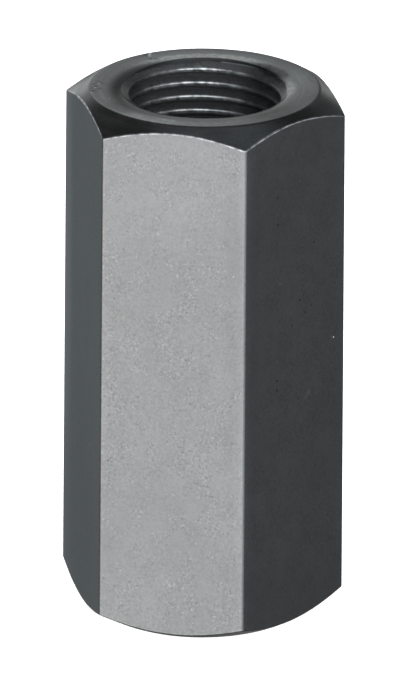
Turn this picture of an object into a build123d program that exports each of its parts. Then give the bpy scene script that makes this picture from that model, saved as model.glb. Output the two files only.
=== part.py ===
from build123d import *
import math
import os

# Long hexagon coupling nut, one piece of hexagon bar. Millimetres, +Z up.
# The nut stands on its lower end. The origin is the centre of that end.

# Driving dimensions
across_flats = 36.0  # hexagon, flat to flat
length = 72.0  # three times the nominal thread diameter
corner_radius = 0.5  # drawn bar: the six long edges aren't sharp
thread_diameter = 24.0  # nominal thread diameter, fine pitch
thread_pitch = 2.0
end_face_diameter = 33.3  # flat ring left by the outer chamfer at each end
end_chamfer_angle = 30.0  # slope of the outer chamfer below the end face
countersink_diameter = 25.4  # at each end of the bore
countersink_angle = 120.0  # included angle

# Minor diameter of the internal thread: the crests of its ridges lie on this wall
bore_diameter = thread_diameter - 1.0825318 * thread_pitch

# Derived dimensions
corner_reach = across_flats / math.sqrt(3)  # axis to a sharp corner
envelope = corner_reach + 1.0
chamfer_drop = (envelope - end_face_diameter / 2) * math.tan(
    math.radians(end_chamfer_angle)
)
countersink_depth = (countersink_diameter - bore_diameter) / 2 / math.tan(
    math.radians(countersink_angle / 2)
)

with BuildPart() as coupling_nut:
    # Hexagon bar, corners on the X axis, flats facing +Y and -Y
    with BuildSketch(Plane.XY) as bar_section:
        RegularPolygon(radius=across_flats / 2, side_count=6, major_radius=False)
        fillet(bar_section.vertices(), radius=corner_radius)
    extrude(amount=length)

    # Turned ends: a cone at each end rounds the six corners off and leaves
    # a round end face and an arc at the top and bottom of each flat
    with BuildSketch(Plane.XZ) as turned_section:
        with BuildLine():
            Polyline(
                (0, 0),
                (end_face_diameter / 2, 0),
                (envelope, chamfer_drop),
                (envelope, length - chamfer_drop),
                (end_face_diameter / 2, length),
                (0, length),
                close=True,
            )
        make_face()
    revolve(axis=Axis.Z, mode=Mode.INTERSECT)

    # Through bore with a countersink at each end
    with BuildSketch(Plane.XZ) as bore_section:
        with BuildLine():
            Polyline(
                (0, 0),
                (countersink_diameter / 2, 0),
                (bore_diameter / 2, countersink_depth),
                (bore_diameter / 2, length - countersink_depth),
                (countersink_diameter / 2, length),
                (0, length),
                close=True,
            )
        make_face()
    revolve(axis=Axis.Z, mode=Mode.SUBTRACT)

coupling_nut.part.label = "coupling_nut"

os.makedirs("parts", exist_ok=True)
export_step(coupling_nut.part, "parts/coupling_nut.step")

print("bore radius", bore_diameter / 2, "countersink depth", countersink_depth)
print("plain wall length", length - 2 * countersink_depth)
print("volume mm3", coupling_nut.part.volume)
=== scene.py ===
import bpy
import math
import numpy as np
from mathutils import Matrix, Vector, noise


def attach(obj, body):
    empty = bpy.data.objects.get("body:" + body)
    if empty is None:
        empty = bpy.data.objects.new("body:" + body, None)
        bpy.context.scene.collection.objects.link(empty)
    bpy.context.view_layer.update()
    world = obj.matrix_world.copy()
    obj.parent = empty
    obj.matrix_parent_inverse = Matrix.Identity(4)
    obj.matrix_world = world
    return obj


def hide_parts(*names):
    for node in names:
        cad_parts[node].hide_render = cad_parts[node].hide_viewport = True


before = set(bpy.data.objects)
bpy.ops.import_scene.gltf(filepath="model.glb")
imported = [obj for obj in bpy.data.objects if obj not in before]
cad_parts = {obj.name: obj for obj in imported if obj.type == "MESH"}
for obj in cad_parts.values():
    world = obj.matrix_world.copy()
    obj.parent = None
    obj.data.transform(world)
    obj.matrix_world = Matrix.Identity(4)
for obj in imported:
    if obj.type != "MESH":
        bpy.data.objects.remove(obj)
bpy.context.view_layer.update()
MM = 0.001

# ---------------------------------------------------------------- dimensions, mm
LENGTH = 72.0
FLATS = 36.0
CORNER_R = 0.5
END_FACE_R = 33.3 / 2
SINK_R = 25.4 / 2
SLOPE = math.radians(30)  # both the outer chamfer and the 120 degree countersink
PITCH = 2.0
MAJOR_R = 12.0
MINOR_R = MAJOR_R - 0.5412659 * PITCH
THREAD_START_R = MAJOR_R + 0.05  # below this radius the countersink is cut by the thread
THREAD_PHASE = 0.13  # height of a crest at azimuth 0, mm
# the end face is rubbed down towards the mouth, inside this radius, by this much at the mouth
DISH_R, DISH = 15.2, 0.227


def end_face(r, share=1.0):
    return -DISH * share * (max(0.0, DISH_R - r) / (DISH_R - SINK_R)) ** 2.5


# ---------------------------------------------------------------- angles
corner_steps = (0.175, 0.35, 0.52, 0.694)
fine = sorted(
    {float(a) for a in range(360)}
    | {(60.0 * k + s * d) % 360.0 for k in range(6) for d in corner_steps for s in (-1, 1)}
)
fine_rad = np.radians(np.array(fine))
NF = len(fine)
coarse = [i for i, a in enumerate(fine) if abs(a % 3.0) < 1e-9]  # every third degree
NC = len(coarse)
coarse_rad = fine_rad[coarse]


def hex_radius(theta):
    """Distance from the axis to the hexagon's side, corners rounded, corners on +X."""
    off = np.abs((np.degrees(theta) + 30.0) % 60.0 - 30.0)  # from the nearest corner
    flat = FLATS / 2 / np.cos(np.radians(30.0 - off))
    c = (FLATS / 2 - CORNER_R) / math.cos(math.radians(30))
    o = np.radians(np.minimum(off, 0.7))
    round_ = c * np.cos(o) + np.sqrt(CORNER_R**2 - (c * np.sin(o)) ** 2)
    return np.where(off < 0.694, np.minimum(round_, flat), flat)


def ring_noise(theta, scale, seed):
    """Smooth noise round a circle, about -1 to 1."""
    return np.array(
        [
            noise.noise(Vector((math.cos(t) * scale, math.sin(t) * scale, seed)))
            for t in theta
        ]
    )


def arc(corner, d1, d2, radius, n):
    """Points of a rounded corner in the (r, z) section, from direction d1 to d2, turning clockwise."""
    turn = math.acos(max(-1.0, min(1.0, d1[0] * d2[0] + d1[1] * d2[1])))
    t = radius * math.tan(turn / 2)
    r0, z0 = corner[0] - d1[0] * t, corner[1] - d1[1] * t
    n0 = (-d1[1], d1[0])
    cr, cz = r0 - n0[0] * radius, z0 - n0[1] * radius
    points = []
    for k in range(n + 1):
        a = turn * k / n
        nr = math.cos(a) * n0[0] + math.sin(a) * n0[1]
        nz = -math.sin(a) * n0[0] + math.cos(a) * n0[1]
        points.append((cr + nr * radius, cz + nz * radius))
    return points


def half_section(rs, sink_round, rim_round, edge_round, share):
    """Rows (r, z, edge mask, zone) from the thread's start over the end face to the hexagon's side.
    z is measured from the end face, downwards negative. Zone: 0 side, 1 turned."""
    up, flat, down, wall = (
        (math.cos(SLOPE), math.sin(SLOPE)),
        (1.0, 0.0),
        (math.cos(SLOPE), -math.sin(SLOPE)),
        (0.0, -1.0),
    )
    rows = []

    def line(a, b, n, m0, m1, first=0.0, last=0.0):
        # n points strictly between a and b, the outer ones close to the ends so that masks stay narrow
        for k in range(1, n + 1):
            s = k / (n + 1)
            if k == 1 and first:
                s = first
            if k == n and last:
                s = 1 - last
            m = 0.0
            rows.append((a[0] + (b[0] - a[0]) * s, a[1] + (b[1] - a[1]) * s, m, 1.0))

    start = (THREAD_START_R, -(SINK_R - THREAD_START_R) * math.tan(SLOPE))
    rows.append((start[0], start[1], 0.0, 1.0))
    mouth = SINK_R
    for _ in range(8):
        mouth = SINK_R + end_face(mouth, share) / math.tan(SLOPE)
    tilt = math.atan((end_face(mouth + 0.01, share) - end_face(mouth, share)) / 0.01)
    a1 = arc((mouth, end_face(mouth, share)), up, (math.cos(tilt), math.sin(tilt)), sink_round, 3)
    line(start, a1[0], 1, 0, 1, last=0.3)
    rows += [(r, z, 0.2, 1.0) for r, z in a1]
    a2 = arc((END_FACE_R, 0.0), flat, down, rim_round, 4)
    first, last = a1[-1][0], a2[0][0]
    for s in (0.03, 0.1, 0.18, 0.27, 0.37, 0.48, 0.6, 0.73, 0.87):
        r = first + (last - first) * s
        rows.append((r, end_face(r, share), 0.0, 1.0))
    rows += [(r, z, 0.15, 1.0) for r, z in a2]
    a3 = arc(
        (rs, -(rs - END_FACE_R) * math.tan(SLOPE)), down, wall, edge_round, 5
    )
    line(a2[-1], a3[0], 6, 1, 1, first=0.05, last=0.05)
    rows += [(r, z, 1.0, 1.0 - k / 5) for k, (r, z) in enumerate(a3)]
    rows.append((rs, a3[-1][1] - 0.12, 0.0, 0.0))
    return rows


# how the upright corners at 0, 60, ... 300 degrees have rubbed: how far the flats fall away
# towards them (mm), over what width (mm), and how strong a painted highlight runs along them
CORNER_FALL = (0.03, 0.03, 0.03, 0.09, 0.012, 0.025)
CORNER_WIDTH = (2.2, 2.2, 2.2, 5.0, 1.4, 2.0)
CORNER_HIGHLIGHT = (0.9, 0.5, 0.5, 2.3, 0.3, 0.6)


def near_corner(theta, r):
    """The nearest corner of each point, and how close it is: 1 at the corner, 0 a width away."""
    angle = np.degrees(theta) % 360.0
    nearest = np.round(angle / 60.0).astype(int) % 6
    off = np.abs((angle + 30.0) % 60.0 - 30.0)
    away = r * np.sin(np.radians(off))
    return nearest, np.clip(1 - away / np.array(CORNER_WIDTH)[nearest], 0, 1)


def thread_profile():
    """One pitch from the middle of a root over a ridge to the next root, crest rounded by wear:
    (axial, radius, crest mask)."""
    h = MAJOR_R - MINOR_R
    half_root, half_crest = PITCH / 16, PITCH / 8
    corner = (PITCH / 2 - half_crest, h)
    rise = (math.cos(math.radians(60)), math.sin(math.radians(60)))
    rounded = arc(corner, rise, (1.0, 0.0), 0.40, 3)
    up = [(half_root, 0.0, 0.0)]
    up += [(s, q, m) for (s, q), m in zip(rounded, (0.2, 0.75, 1.0, 1.0))]
    down = [(PITCH - s, q, m) for s, q, m in reversed(up)]
    return [(s, MAJOR_R - q, m) for s, q, m in up + [(PITCH / 2, h, 1.0)] + down]


def build_nut():
    rs = hex_radius(fine_rad)
    halves = []
    for seed in (3.1, 11.7):  # top, bottom
        sink = 0.16 + 0.05 * ring_noise(fine_rad, 3.0, seed)
        rim = 1.0 + 0.5 * ring_noise(fine_rad, 2.0, seed + 1)
        edge = 0.24 + 0.07 * ring_noise(fine_rad, 5.0, seed + 2)
        # the upper end is rubbed down less at the back
        share = 1 - 0.8 * np.exp(-((np.array(fine) - 104.0) / 42.0) ** 2) if seed == 3.1 else np.ones(NF)
        cols = [
            half_section(*(float(w[i]) for w in (rs, sink, rim, edge, share)))
            for i in range(NF)
        ]
        halves.append(np.array(cols).transpose(1, 0, 2))  # rows, angles, 4
    top, bottom = halves
    top = top.copy()
    top[:, :, 1] += LENGTH
    bottom = bottom[::-1].copy()
    bottom[:, :, 1] = -bottom[:, :, 1]
    bottom[:, :, 2] *= 0.4  # the lower edges are less rubbed
    n_side = 34
    side = np.zeros((n_side, NF, 4))
    for k in range(n_side):
        s = (k + 1) / (n_side + 1)
        side[k, :, 0] = rs
        side[k, :, 1] = top[-1, :, 1] * (1 - s) + bottom[0, :, 1] * s
    outer = np.concatenate([top, side, bottom])
    flatness = np.clip(1 - outer[:, :, 3], 0, 1)
    which, close = near_corner(np.broadcast_to(fine_rad, outer.shape[:2]), outer[:, :, 0])
    fall = np.array(CORNER_FALL)[which]
    fall = fall + np.where(which == 5, 0.03 * np.exp(-(LENGTH - outer[:, :, 1]) / 9.0), 0)
    outer[:, :, 0] -= flatness * fall * close**2
    n_rows = len(outer)
    r, z = outer[:, :, 0], outer[:, :, 1]
    co = np.stack([r * np.cos(fine_rad), r * np.sin(fine_rad), z], axis=2)
    verts = [tuple(v) for v in co.reshape(-1, 3)]
    edge_mask = list(outer[:, :, 2].reshape(-1))
    turned = list(outer[:, :, 3].reshape(-1))
    thread = [0.0] * len(verts)

    faces = []
    for j in range(n_rows - 1):
        for i in range(NF):
            i2 = (i + 1) % NF
            faces.append((j * NF + i, (j + 1) * NF + i, (j + 1) * NF + i2, j * NF + i2))

    # ---- internal thread: rows run along the helix, so its crests stay crisp
    profile = thread_profile()
    m = len(profile)
    z_top = LENGTH - (SINK_R - THREAD_START_R) * math.tan(SLOPE)
    z_bottom = LENGTH - z_top
    turns = int(LENGTH / PITCH) + 4
    n_j = turns * m

    def cone(zz):
        return max(
            SINK_R - (LENGTH - zz) / math.tan(SLOPE), SINK_R - zz / math.tan(SLOPE), 0.0
        )

    ids = {}
    for c in range(NC):
        lead = PITCH * math.degrees(coarse_rad[c]) / 360.0
        zs, rr, ms = [], [], []
        for j in range(n_j + m):
            t, pr, mask = profile[j % m]
            zs.append(THREAD_PHASE - PITCH / 2 - 2 * PITCH + (j // m) * PITCH + t + lead)
            rr.append(pr)
            ms.append(mask)
        f = [rr[j] - cone(zs[j]) for j in range(len(zs))]
        out = list(zip(zs, rr, ms))
        for j in range(len(zs)):
            if f[j] < 0:
                out[j] = (zs[j], cone(zs[j]), 0.0)
        for j in range(len(zs) - 1):
            if (f[j] < 0) != (f[j + 1] < 0):
                s = f[j] / (f[j] - f[j + 1])
                zc = zs[j] + (zs[j + 1] - zs[j]) * s
                rc = rr[j] + (rr[j + 1] - rr[j]) * s
                k = j if f[j] < 0 else j + 1
                out[k] = (zc, rc, 0.8)
        for j in range(len(zs)):
            zz, pr, mask = out[j]
            if zz > z_top - 0.03:
                ids[c, j] = coarse[c]
            elif zz < z_bottom + 0.03:
                ids[c, j] = (n_rows - 1) * NF + coarse[c]
            else:
                ids[c, j] = len(verts)
                a = coarse_rad[c]
                verts.append((pr * math.cos(a), pr * math.sin(a), zz))
                edge_mask.append(mask)
                turned.append(0.0)
                thread.append(1.0)

    first_row, last_row = set(range(NF)), set(range((n_rows - 1) * NF, n_rows * NF))

    def between(a, b):
        """The fine vertices passed on an end circle on the way from a to b."""
        for ring, base in ((first_row, 0), (last_row, (n_rows - 1) * NF)):
            if a in ring and b in ring and a != b:
                ia, ib = a - base, b - base
                d = (ib - ia) % NF
                if d < NF / 2:
                    return [base + (ia + k) % NF for k in range(1, d)]
                d = (ia - ib) % NF
                return [base + (ia - k) % NF for k in range(1, d)]
        return []

    for c in range(NC):
        c2, shift = (c + 1, 0) if c + 1 < NC else (0, m)
        for j in range(n_j - 1):
            if (c2, j + 1 + shift) not in ids:
                continue
            quad = [ids[c, j], ids[c, j + 1], ids[c2, j + 1 + shift], ids[c2, j + shift]]
            loop = []
            for k in range(4):
                a, b = quad[k], quad[(k + 1) % 4]
                if a != b:
                    loop.append(a)
                    loop += between(a, b)
            if len(set(loop)) < 3 or len(set(quad)) < 3:
                continue
            faces.append(tuple(loop))

    v = np.array(verts)
    return v, faces, np.array(edge_mask), np.array(turned), np.array(thread), n_rows


def corner_highlight(v, turned, thread):
    """How strong the painted highlight along the upright corners is."""
    theta = np.arctan2(v[:, 1], v[:, 0])
    which, close = near_corner(theta, np.hypot(v[:, 0], v[:, 1]))
    wave = np.array(
        [0.75 + 0.5 * noise.noise(Vector((z * 0.09, float(k) * 7.3, 2.0))) for z, k in zip(v[:, 2], which)]
    )
    upper = np.where(which == 3, np.clip((v[:, 2] - 4) / 34, 0.15, 1), 1)
    side = np.clip(1 - turned - thread, 0, 1)
    return close**1.6 * wave * upper * side * np.array(CORNER_HIGHLIGHT)[which]


def crest_highlight_zone(v):
    """Where round the bore the crests get a painted highlight: 1 towards the back, 0 beyond, where the thread
    gets painted shade instead.
    """
    off = np.abs((np.degrees(np.arctan2(v[:, 1], v[:, 0])) - 113.0 + 180) % 360 - 180)
    s = np.clip((56 - off) / 26, 0, 1)
    return s * s * (3 - 2 * s)


verts, faces, edge_mask, turned, thread, N_ROWS = build_nut()
# corner: strength of the painted highlight along the upright corners
corner = corner_highlight(verts, turned, thread)
back = crest_highlight_zone(verts)
# painted highlight: the crests keep their light colour only towards the back of the bore
edge_mask = edge_mask * (1 - thread * 0.92 * (1 - back))

# ---------------------------------------------------------------- dents and nicks, mm
# (x, y, z, radius, depth): small marks of handling, pressed into the outer surfaces


def polar(r, deg, z):
    return (r * math.cos(math.radians(deg)), r * math.sin(math.radians(deg)), z)


dents = [
    (*polar(16.1, 135.5, LENGTH), 0.50, 0.24),
    (*polar(14.4, 136.8, LENGTH), 0.40, 0.08),
    (*polar(14.3, 134.2, LENGTH), 0.40, 0.10),
    (*polar(13.7, 133.4, LENGTH), 0.35, 0.06),
    (*polar(15.7, 194.6, LENGTH), 0.45, 0.11),
    (*polar(16.2, 201.0, LENGTH), 0.50, 0.10),
    (*polar(15.2, 197.3, LENGTH), 0.42, 0.10),
    (*polar(14.7, 187.4, LENGTH), 0.45, 0.06),
    (*polar(14.9, 193.2, LENGTH), 0.36, 0.07),
    (*polar(15.7, 199.2, LENGTH), 0.36, 0.07),
]
# small spots of colour: (x, y, z, radius); bare metal in a fresh nick, and dark pits
bright_spots = [
    (*polar(16.35, 133.4, LENGTH - 0.03), 0.32),
    (*polar(15.85, 134.6, LENGTH - 0.03), 0.36),
    (*polar(15.30, 135.7, LENGTH), 0.28),
    (*polar(10.93, 149.3, 70.02), 0.15),
    (*polar(14.55, 214.3, LENGTH), 0.14),
    (19.66, -1.95, 38.61, 0.13),
    (*polar(15.75, 196.2, LENGTH), 0.17),
    (*polar(16.45, 203.5, LENGTH), 0.17),
    (*polar(15.30, 189.6, LENGTH), 0.15),
]
# faint scuffs
pale_spots = [
    (14.02, -11.72, 49.18, 0.30),
    (17.07, -6.44, 32.21, 0.50),
    (16.80, -6.90, 31.60, 0.35),
    (15.27, -9.55, 66.92, 0.18),
    (16.02, -8.25, 62.72, 0.22),
    (13.76, -12.16, 38.40, 0.26),
    (0.66, -18.00, 51.31, 0.24),
    (8.76, -18.00, 51.94, 0.22),
    (*polar(15.85, 197.6, LENGTH), 0.30),
    (*polar(15.2, 191.4, LENGTH), 0.34),
    (*polar(16.3, 206.5, LENGTH), 0.30),
    (-2.21, -18.00, 56.95, 0.24),
    (4.34, -18.00, 53.21, 0.16),
]
dark_spots = [
    (*polar(15.6, 194.4, LENGTH), 0.48),
    (*polar(16.1, 201.0, LENGTH), 0.52),
    (*polar(15.1, 197.4, LENGTH), 0.42),
    (*polar(16.0, 191.2, LENGTH), 0.42),
    (*polar(15.4, 186.6, LENGTH), 0.36),
    (*polar(16.4, 198.0, LENGTH), 0.40),
    (*polar(14.2, 134.0, LENGTH), 0.26),
    (*polar(14.4, 136.9, LENGTH), 0.22),
    (*polar(11.97, 28.1, 71.58), 0.26),
    (*polar(11.74, 8.4, 71.45), 0.26),
    (*polar(11.1, 147.5, 69.35), 0.30),
    (16.11, -8.10, 45.80, 0.20),
    (16.64, -7.18, 43.81, 0.19),
    (17.26, -6.10, 44.47, 0.16),
    (15.29, -9.51, 42.70, 0.17),
    (13.78, -12.13, 35.60, 0.19),
    (13.78, -12.13, 34.30, 0.21),
    (13.75, -12.19, 61.47, 0.20),
    (13.77, -12.16, 57.65, 0.22),
    (17.53, -5.63, 53.28, 0.18),
]
# painted highlight with some rubbing (positive) and painted shade with some dulling (negative), as
# patches of the upper end: radius, azimuth, half width across in mm, half width round in degrees, amount
PATCHES = [
    (13.35, 106, 0.75, 42, 1.15),
    (14.6, 104, 0.8, 42, 0.25),
    (15.2, 231, 2.2, 9, -0.45),
    (14.8, 327, 2.6, 14, -0.50),
    (15.6, 255, 1.3, 16, 0.55),
    (15.6, 24, 1.6, 22, 0.25),
    (12.4, 15, 0.6, 15, 0.60),
    (12.8, 52, 0.75, 14, -1.9),
    (12.69, 45.9, 0.9, 8, -1.3),
    (17.41, 234.2, 1.6, 9, 0.30),
    (17.86, 0.4, 1.8, 9, -0.32),
    (14.4, 284, 1.8, 26, 0.35),
    (17.3, 266, 1.0, 16, 0.06),
    (17.6, 199, 1.4, 9, -0.22),
    (12.9, 186, 0.75, 42, -0.46),
    (14.3, 222, 1.0, 10, -0.25),
]
# painted highlight (positive) and painted shade (negative) on the faces: centre, half widths, amount
FACE_LIGHT_PATCHES = [
    ((10.2, -18.0, 36.0), (2.4, 3.0, 40.0), -0.10),
    ((-1.0, -18.0, 66.0), (11.0, 3.0, 11.0), 0.07),
    ((-15.6, -9.0, 12.0), (9.0, 9.0, 20.0), -0.26),
    ((-19.8, -1.8, 46.0), (1.5, 2.6, 32.0), 0.26),
    ((11.5, -16.0, 66.0), (2.0, 2.5, 9.0), -0.04),
]
n_outer = N_ROWS * NF


def painted_face_light(v, side):
    total = np.zeros(len(v))
    for centre, half, amount in FACE_LIGHT_PATCHES:
        q = np.linalg.norm((v - np.array(centre)) / np.array(half), axis=1)
        s = np.clip((1.5 - q) / 1.2, 0, 1)
        total += amount * s * s * (3 - 2 * s)
    return total * side


def end_tone(v):
    theta = np.degrees(np.arctan2(v[:, 1], v[:, 0]))
    r = np.hypot(v[:, 0], v[:, 1])
    total = np.zeros(len(v))
    for pr, pa, wr, wa, amount in PATCHES:
        q = np.hypot((r - pr) / wr, ((theta - pa + 180) % 360 - 180) / wa)
        s = np.clip(1.5 - q, 0, 1)
        total += amount * s * s * (3 - 2 * s)
    depth = np.where(thread > 0.5, 1.2, 2.5)
    return total * (v[:, 2] > LENGTH - depth) * np.maximum(turned, thread)


# tone: painted highlight and painted shade, partly rubbing and dulling of the upper end
tone = end_tone(verts) + painted_face_light(verts, np.clip(1 - turned - thread, 0, 1))
# painted shade: the thread darker round the sides of the bore, away from its back
tone -= 0.66 * thread * (1 - back)


def make_mesh(name, verts_mm, faces):
    mesh = bpy.data.meshes.new(name)
    mesh.from_pydata([tuple(float(c) * MM for c in v) for v in verts_mm], [], faces)
    mesh.validate()
    mesh.update()
    return mesh


mesh = make_mesh("coupling_nut_detailed", verts, faces)
normals = np.zeros(len(mesh.vertices) * 3, np.float32)
mesh.vertices.foreach_get("normal", normals)
normals = normals.reshape(-1, 3)
for x, y, z, radius, depth in dents:
    d = np.linalg.norm(verts - np.array([x, y, z]), axis=1)
    hit = np.nonzero((d < radius) & (np.arange(len(verts)) < n_outer))[0]
    verts[hit] -= normals[hit] * (depth * (1 - (d[hit] / radius) ** 2) ** 2)[:, None]
for k, v in enumerate(verts):
    mesh.vertices[k].co = Vector(v) * MM
mesh.update()

for name, values in (
    ("edge", edge_mask),
    ("turned", turned),
    ("thread", thread),
    ("corner", corner),
    # these two carry painted highlight and painted shade, partly rubbing and dulling
    ("rubbing_and_highlight", np.clip(tone, 0, 1)),
    ("dull", np.clip(-tone, 0, 1)),
):
    layer = mesh.attributes.new(name, "FLOAT", "POINT")
    layer.data.foreach_set("value", np.asarray(values, np.float32))
mesh.shade_smooth()
mesh.set_sharp_from_angle(angle=math.radians(33))
nut = bpy.data.objects.new("coupling_nut_detailed", mesh)
bpy.context.scene.collection.objects.link(nut)
weighted = nut.modifiers.new("flat faces stay flat", "WEIGHTED_NORMAL")
weighted.mode = "FACE_AREA"
weighted.keep_sharp = True
weighted.weight = 50

# ---------------------------------------------------------------- material


class Graph:
    def __init__(self, tree):
        self.tree = tree
        tree.nodes.clear()

    def add(self, kind, **settings):
        node = self.tree.nodes.new(kind)
        for key, value in settings.items():
            setattr(node, key, value)
        return node

    def link(self, a, b):
        self.tree.links.new(a, b)

    def put(self, socket, value):
        if isinstance(value, bpy.types.NodeSocket):
            self.link(value, socket)
        else:
            socket.default_value = value

    def math(self, op, a, b=0.0, c=0.0, clamp=False):
        node = self.add("ShaderNodeMath", operation=op, use_clamp=clamp)
        for socket, value in zip(node.inputs, (a, b, c)):
            self.put(socket, value)
        return node.outputs[0]

    def noise(self, vector, scale, detail=2.0, rough=0.5, distortion=0.0):
        node = self.add("ShaderNodeTexNoise")
        self.put(node.inputs["Vector"], vector)
        node.inputs["Scale"].default_value = scale
        node.inputs["Detail"].default_value = detail
        node.inputs["Roughness"].default_value = rough
        node.inputs["Distortion"].default_value = distortion
        return node.outputs["Fac"]

    def remap(self, value, lo, hi, to_lo=0.0, to_hi=1.0, smooth=False):
        node = self.add("ShaderNodeMapRange")
        if smooth:
            node.interpolation_type = "SMOOTHSTEP"
        self.put(node.inputs["Value"], value)
        node.inputs["From Min"].default_value = lo
        node.inputs["From Max"].default_value = hi
        node.inputs["To Min"].default_value = to_lo
        node.inputs["To Max"].default_value = to_hi
        return node.outputs["Result"]

    def mix(self, fac, a, b):
        node = self.add("ShaderNodeMix", data_type="RGBA")
        self.put(node.inputs["Factor"], fac)
        self.put(node.inputs[6], a)
        self.put(node.inputs[7], b)
        return node.outputs[2]

    def attribute(self, name):
        return self.add("ShaderNodeAttribute", attribute_name=name).outputs["Fac"]


def black_oxide():
    mat = bpy.data.materials.new("black_oxide_steel")
    mat.use_nodes = True
    g = Graph(mat.node_tree)
    out = g.add("ShaderNodeOutputMaterial")
    bsdf = g.add("ShaderNodeBsdfPrincipled")
    g.link(bsdf.outputs[0], out.inputs["Surface"])
    coords = g.add("ShaderNodeTexCoord").outputs["Object"]
    scale = g.add("ShaderNodeVectorMath", operation="SCALE")
    g.link(coords, scale.inputs[0])
    scale.inputs["Scale"].default_value = 1000.0
    p = scale.outputs["Vector"]  # millimetres
    split = g.add("ShaderNodeSeparateXYZ")
    g.link(p, split.inputs[0])
    x, y, z = split.outputs
    radius = g.math("SQRT", g.math("ADD", g.math("MULTIPLY", x, x), g.math("MULTIPLY", y, y)))
    stretched = g.add("ShaderNodeCombineXYZ")
    g.link(x, stretched.inputs[0])
    g.link(y, stretched.inputs[1])
    g.link(g.math("MULTIPLY", z, 0.03), stretched.inputs[2])
    drawn = stretched.outputs[0]
    edge, turned_, thread_, corner_ = (g.attribute(n) for n in ("edge", "turned", "thread", "corner"))
    flat_ = g.math("SUBTRACT", g.math("SUBTRACT", 1.0, turned_, clamp=True), thread_, clamp=True)

    grain = g.noise(p, 2.6, 3.0, 0.6)  # phosphate-like crystals of the finish
    mottle = g.noise(p, 0.5, 3.0, 0.6)
    cloud = g.noise(p, 0.09, 2.0, 0.5)
    streak = g.noise(drawn, 1.6, 2.0, 0.6)
    around = g.add("ShaderNodeVectorMath", operation="NORMALIZE")
    flat_xy = g.add("ShaderNodeCombineXYZ")
    g.link(x, flat_xy.inputs[0])
    g.link(y, flat_xy.inputs[1])
    g.link(flat_xy.outputs[0], around.inputs[0])
    turn_at = g.add("ShaderNodeSeparateXYZ")
    g.link(around.outputs[0], turn_at.inputs[0])
    ring_at = g.add("ShaderNodeCombineXYZ")  # long thin marks that run round the axis
    g.link(g.math("MULTIPLY", turn_at.outputs[0], 1.7), ring_at.inputs[0])
    g.link(g.math("MULTIPLY", turn_at.outputs[1], 1.7), ring_at.inputs[1])
    g.link(g.math("MULTIPLY", g.math("ADD", radius, z), 2.4), ring_at.inputs[2])
    rings = g.noise(ring_at.outputs[0], 1.0, 2.0, 0.6)

    base = g.mix(g.remap(grain, 0.32, 0.70), (0.128, 0.132, 0.134, 1), (0.180, 0.185, 0.187, 1))
    base = g.mix(g.math("MULTIPLY", g.remap(mottle, 0.42, 0.68), 0.35), base, (0.180, 0.187, 0.189, 1))
    base = g.mix(g.math("MULTIPLY", g.remap(cloud, 0.40, 0.66), 0.45), base, (0.134, 0.140, 0.144, 1))
    patch = g.noise(p, 0.24, 2.0, 0.5)
    base = g.mix(g.math("MULTIPLY", g.remap(patch, 0.45, 0.68), 0.30), base, (0.178, 0.184, 0.186, 1))
    fleck = g.noise(p, 3.1, 2.0, 0.6)
    swarm = g.remap(g.noise(p, 0.42, 2.0, 0.55), 0.44, 0.58)
    swarm = g.math("MULTIPLY", swarm, g.remap(turned_, 0.0, 1.0, 1.0, 0.5))
    # the right-hand flat has a smoother finish than the front one
    right_flat = g.math("SUBTRACT", g.math("MULTIPLY", x, 0.866), g.math("MULTIPLY", y, 0.5))
    swarm = g.math("MULTIPLY", swarm, g.remap(right_flat, 17.6, 17.9, 1.0, 0.4))
    pale_fleck = g.math("MULTIPLY", g.remap(fleck, 0.58, 0.67), swarm)
    dark_fleck = g.math("MULTIPLY", g.remap(fleck, 0.42, 0.33), swarm)
    base = g.mix(g.math("MULTIPLY", pale_fleck, 0.7), base, (0.235, 0.24, 0.24, 1))
    base = g.mix(g.math("MULTIPLY", dark_fleck, 0.75), base, (0.096, 0.099, 0.102, 1))
    # sparse scuffs, a little lighter, and pinholes, a little darker
    scuff = g.math(
        "MULTIPLY",
        g.remap(g.noise(p, 0.8, 4.0, 0.72, 0.6), 0.62, 0.72),
        g.remap(g.noise(p, 0.13, 2.0, 0.5), 0.5, 0.62),
    )
    base = g.mix(g.math("MULTIPLY", scuff, 0.45), base, (0.23, 0.235, 0.235, 1))
    cell = g.add("ShaderNodeTexVoronoi", feature="F1")
    g.link(p, cell.inputs["Vector"])
    cell.inputs["Scale"].default_value = 0.55
    pin = g.math(
        "MULTIPLY",
        g.remap(cell.outputs["Distance"], 0.13, 0.06),
        g.remap(g.noise(p, 0.3, 1.0, 0.5), 0.52, 0.56),
    )
    base = g.mix(g.math("MULTIPLY", pin, 0.45), base, (0.07, 0.072, 0.075, 1))
    # turning marks on the end faces and cones
    marks = g.math("MULTIPLY", g.remap(rings, 0.54, 0.68), turned_)
    base = g.mix(g.math("MULTIPLY", marks, 0.50), base, (0.26, 0.265, 0.262, 1))
    dull = g.math("MULTIPLY", g.remap(rings, 0.46, 0.34), turned_)
    base = g.mix(g.math("MULTIPLY", dull, 0.45), base, (0.095, 0.102, 0.103, 1))

    ragged = g.remap(g.noise(p, 1.1, 3.0, 0.65), 0.36, 0.64)
    # painted highlight, partly rubbing: lighter patches of the ends and faces
    rubbing_and_highlight = g.math("MULTIPLY", g.attribute("rubbing_and_highlight"), g.remap(ragged, 0.0, 1.0, 0.5, 1.2))
    base = g.mix(rubbing_and_highlight, base, (0.42, 0.43, 0.43, 1))
    # painted shade, partly dulling: darker patches of the ends and faces
    dulling_and_shade = g.math("MULTIPLY", g.attribute("dull"), g.remap(ragged, 0.0, 1.0, 1.2, 0.6))
    base = g.mix(dulling_and_shade, base, (0.04, 0.043, 0.043, 1))

    def spots(places):
        total = 0.0
        for px, py, pz, size in places:
            away = g.add("ShaderNodeVectorMath", operation="DISTANCE")
            g.link(p, away.inputs[0])
            away.inputs[1].default_value = (px, py, pz)
            here = g.remap(away.outputs["Value"], size, size * 0.55)
            total = here if total == 0.0 else g.math("MAXIMUM", total, here)
        return total

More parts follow.
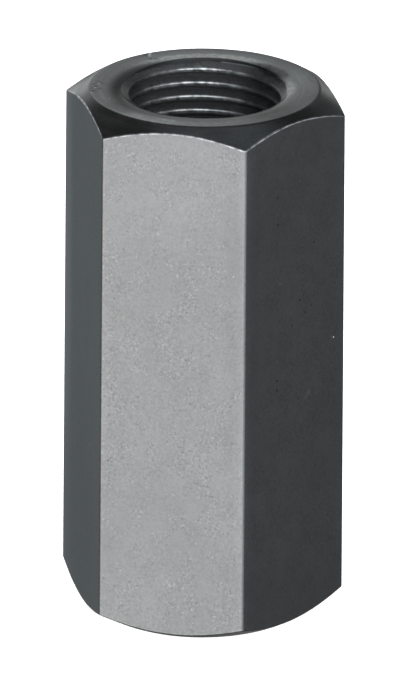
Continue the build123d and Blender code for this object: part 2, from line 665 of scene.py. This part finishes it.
    base = g.mix(g.math("MULTIPLY", spots(dark_spots), 0.85), base, (0.05, 0.052, 0.054, 1))
    base = g.mix(g.math("MULTIPLY", spots(pale_spots), 0.45), base, (0.27, 0.275, 0.275, 1))
    chipped = spots(bright_spots)
    patchy = g.remap(g.noise(p, 0.9, 3.0, 0.6), 0.35, 0.6)
    edge_wear_and_crest_highlight = g.math("MULTIPLY", g.math("POWER", edge, 1.5), patchy)
    # painted shade: the thread inside the bore darker all round
    base = g.mix(g.math("MULTIPLY", thread_, 0.24), base, (0.03, 0.032, 0.032, 1))
    # rubbed edges lighter; on the thread crests this is a painted highlight towards the back of the bore
    base = g.mix(g.math("MULTIPLY", edge_wear_and_crest_highlight, g.remap(thread_, 0.0, 1.0, 0.85, 0.9)), base, (0.52, 0.53, 0.53, 1))
    # painted highlight: the side faces lighter towards the upright corners
    base = g.mix(g.math("MULTIPLY", corner_, 0.35), base, (0.30, 0.31, 0.315, 1))
    base = g.mix(chipped, base, (0.85, 0.86, 0.86, 1))
    g.put(bsdf.inputs["Base Color"], base)
    g.put(bsdf.inputs["Metallic"], g.remap(thread_, 0.0, 1.0, 1.0, 0.8))
    rough = g.math("ADD", g.remap(grain, 0.3, 0.7, -0.004, 0.004), g.remap(mottle, 0.3, 0.7, 0.316, 0.332))
    rough = g.math("SUBTRACT", rough, g.math("MULTIPLY", turned_, 0.11))
    rough = g.math("SUBTRACT", rough, g.math("MULTIPLY", edge_wear_and_crest_highlight, 0.04))
    rough = g.math("ADD", rough, g.math("MULTIPLY", chipped, 0.3))
    g.put(bsdf.inputs["Roughness"], rough)

    height = g.math("MULTIPLY", grain, 0.0025)
    height = g.math("ADD", height, g.math("MULTIPLY", mottle, 0.007))
    height = g.math("ADD", height, g.math("MULTIPLY", g.math("MULTIPLY", streak, flat_), 0.004))
    height = g.math("ADD", height, g.math("MULTIPLY", g.math("MULTIPLY", rings, turned_), 0.015))
    bump = g.add("ShaderNodeBump")
    bump.inputs["Strength"].default_value = 0.35
    bump.inputs["Distance"].default_value = 0.001
    g.put(bump.inputs["Height"], height)
    g.link(bump.outputs[0], bsdf.inputs["Normal"])
    return mat


mesh.materials.append(black_oxide())
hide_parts("coupling_nut")
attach(nut, "root")

# ---------------------------------------------------------------- stage
# A pale floor that curves up into a wall far behind, all the way round


def stage():
    profile = [(0.0, 0.0), (0.5, 0.0), (1.2, 0.0), (2.0, 0.0)]
    profile += [
        (2.0 + math.sin(math.radians(a)), 1.0 - math.cos(math.radians(a)))
        for a in range(9, 91, 9)
    ]
    profile += [(3.0, 2.5)]
    n = 64
    vs, fs = [(0.0, 0.0, 0.0)], []
    for r, z in profile[1:]:
        vs += [(r * math.cos(math.tau * k / n), r * math.sin(math.tau * k / n), z) for k in range(n)]
    for k in range(n):
        fs.append((0, 1 + k, 1 + (k + 1) % n))
    for j in range(len(profile) - 2):
        a, b = 1 + j * n, 1 + (j + 1) * n
        for k in range(n):
            fs.append((a + k, b + k, b + (k + 1) % n, a + (k + 1) % n))
    m = bpy.data.meshes.new("floor")
    m.from_pydata(vs, [], fs)
    m.update()
    m.shade_smooth()
    floor = bpy.data.objects.new("floor", m)
    bpy.context.scene.collection.objects.link(floor)
    mat = bpy.data.materials.new("pale_floor")
    mat.use_nodes = True
    bsdf = mat.node_tree.nodes["Principled BSDF"]
    bsdf.inputs["Base Color"].default_value = (0.9, 0.9, 0.9, 1)
    bsdf.inputs["Roughness"].default_value = 0.9
    bsdf.inputs["Specular IOR Level"].default_value = 0.0
    bsdf.inputs["Emission Color"].default_value = (1, 1, 1, 1)
    bsdf.inputs["Emission Strength"].default_value = 0.55
    m.materials.append(mat)
    floor.visible_glossy = False
    floor.visible_shadow = False
    return floor


floor = stage()

# ---------------------------------------------------------------- camera
# The photo looks down at the nut, yet its upright edges don't converge: the film stood
# upright, as on a view camera. So the picture's up axis is upright here and the viewing
# direction slopes. No lens shift is used.
CAM_AZ = 13.74  # degrees from -Y towards +X
CAM_AT = Vector((0.186238, -0.761732, 0.338406))
CAM_AXES = (
    Vector((0.971415, 0.237285, 0.007087)),
    Vector((-0.007099, -0.000804, 0.999975)),
    Vector((0.221285, -0.905908, 0.361058)),
)
cam_data = bpy.data.cameras.new("camera")
cam_data.lens = 304.911
cam_data.sensor_width = 36.0
cam_data.clip_start, cam_data.clip_end = 0.01, 20.0
camera = bpy.data.objects.new("camera", cam_data)
bpy.context.scene.collection.objects.link(camera)
film = bpy.data.objects.new("camera_stand", None)
bpy.context.scene.collection.objects.link(film)
pose = Matrix.Identity(4)
for k, axis in enumerate(CAM_AXES):
    for row in range(3):
        pose[row][k] = axis[row]
for row in range(3):
    pose[row][3] = CAM_AT[row]
camera.parent = film
camera.matrix_parent_inverse = pose
bpy.context.scene.camera = camera

# ---------------------------------------------------------------- light


def direction(azimuth, elevation):
    """Unit vector; azimuth 0 is where the camera stands, positive to its right."""
    a, e = math.radians(CAM_AZ + azimuth), math.radians(elevation)
    return Vector((math.sin(a) * math.cos(e), -math.cos(a) * math.cos(e), math.sin(e)))


# Soft lights of the studio: azimuth, elevation, radius in degrees, and red, green, blue strength
LOBES = [
    (-30, -55, 26, 0.26, 0.26, 0.26),
    (-88, -21, 26, 0.40, 0.39, 0.36),
    (-58, -21, 26, 2.40, 2.29, 2.22),
    (-28, -21, 26, 2.35, 2.36, 2.35),
    (2, -21, 26, 1.98, 1.92, 1.88),
    (32, -21, 26, 0.90, 0.98, 1.01),
    (62, -21, 26, 0.68, 0.76, 0.78),
    (-54, 8, 26, 0.46, 0.57, 0.60),
    (0, 8, 26, 3.00, 3.00, 3.00),
    (27, 8, 26, 2.15, 2.38, 2.46),
    (54, 8, 26, 1.14, 1.12, 1.32),
    (81, 8, 26, 1.17, 1.18, 1.23),
    (-45, 34, 26, 0.09, 0.12, 0.14),
    (-15, 34, 26, 1.15, 1.18, 1.29),
    (15, 34, 26, 2.09, 2.32, 2.42),
    (45, 34, 26, 0.96, 0.88, 0.86),
    (90, 60, 26, 0.36, 0.42, 0.44),
    (-148, -21, 26, 0.20, 0.235, 0.245),
    (152, -21, 26, 0.23, 0.23, 0.23),
    (180, -21, 26, 0.14, 0.14, 0.14),
    (-135, 8, 26, 0.69, 0.68, 0.73),
    (180, 84, 26, 0.14, 0.15, 0.16),
    (155, 5, 13, 0.38, 0.40, 0.40),
    (165, 5, 13, 0.26, 0.26, 0.26),
    (-175, 5, 13, 0.26, 0.27, 0.27),
    (-165, 5, 13, 0.44, 0.46, 0.46),
    (-155, 5, 13, 0.26, 0.27, 0.28),
    (-165, 15, 13, 0.28, 0.29, 0.29),
    (-155, 15, 13, 0.20, 0.21, 0.21),
    (155, 25, 13, 0.07, 0.08, 0.08),
    (175, 25, 13, 0.05, 0.06, 0.06),
    (-175, 25, 13, 0.51, 0.53, 0.53),
    (-155, 25, 13, 0.04, 0.04, 0.04),
    (175, 35, 13, 0.08, 0.08, 0.08),
    (-175, 35, 13, 0.08, 0.09, 0.09),
    (175, 45, 13, 0.11, 0.12, 0.12),
]
AMBIENT = 0.078
world = bpy.data.worlds.new("studio")
bpy.context.scene.world = world
world.use_nodes = True
g = Graph(world.node_tree)
world_out = g.add("ShaderNodeOutputWorld")
background = g.add("ShaderNodeBackground")
g.link(background.outputs[0], world_out.inputs["Surface"])
way = g.add("ShaderNodeTexCoord").outputs["Generated"]
total = (AMBIENT, AMBIENT, AMBIENT)
for az, el, spread, red, green, blue in LOBES:
    dot = g.add("ShaderNodeVectorMath", operation="DOT_PRODUCT")
    g.link(way, dot.inputs[0])
    dot.inputs[1].default_value = direction(az, el)
    lobe = g.remap(
        dot.outputs["Value"],
        math.cos(math.radians(spread)),
        math.cos(math.radians(0.15 * spread)),
        smooth=True,
    )
    lit = g.add("ShaderNodeVectorMath", operation="MULTIPLY_ADD")
    g.link(lobe, lit.inputs[0])
    lit.inputs[1].default_value = (red, green, blue)
    g.put(lit.inputs[2], total)
    total = lit.outputs[0]
g.link(total, background.inputs["Color"])
background.inputs["Strength"].default_value = 1.0

overhead = bpy.data.lights.new("overhead_softbox", "AREA")
overhead.shape = "SQUARE"
overhead.size = 1.6
overhead.energy = 14.0
overhead_object = bpy.data.objects.new("overhead_softbox", overhead)
overhead_object.location = (0, 0, 1.6)
overhead_object.visible_glossy = False
bpy.context.scene.collection.objects.link(overhead_object)
only_floor = bpy.data.collections.new("lit_by_overhead")
only_floor.objects.link(floor)
overhead_object.light_linking.receiver_collection = only_floor
overhead_object.light_linking.blocker_collection = only_floor

bpy.context.scene.view_settings.view_transform = "Standard"
bpy.context.scene.view_settings.look = "None"
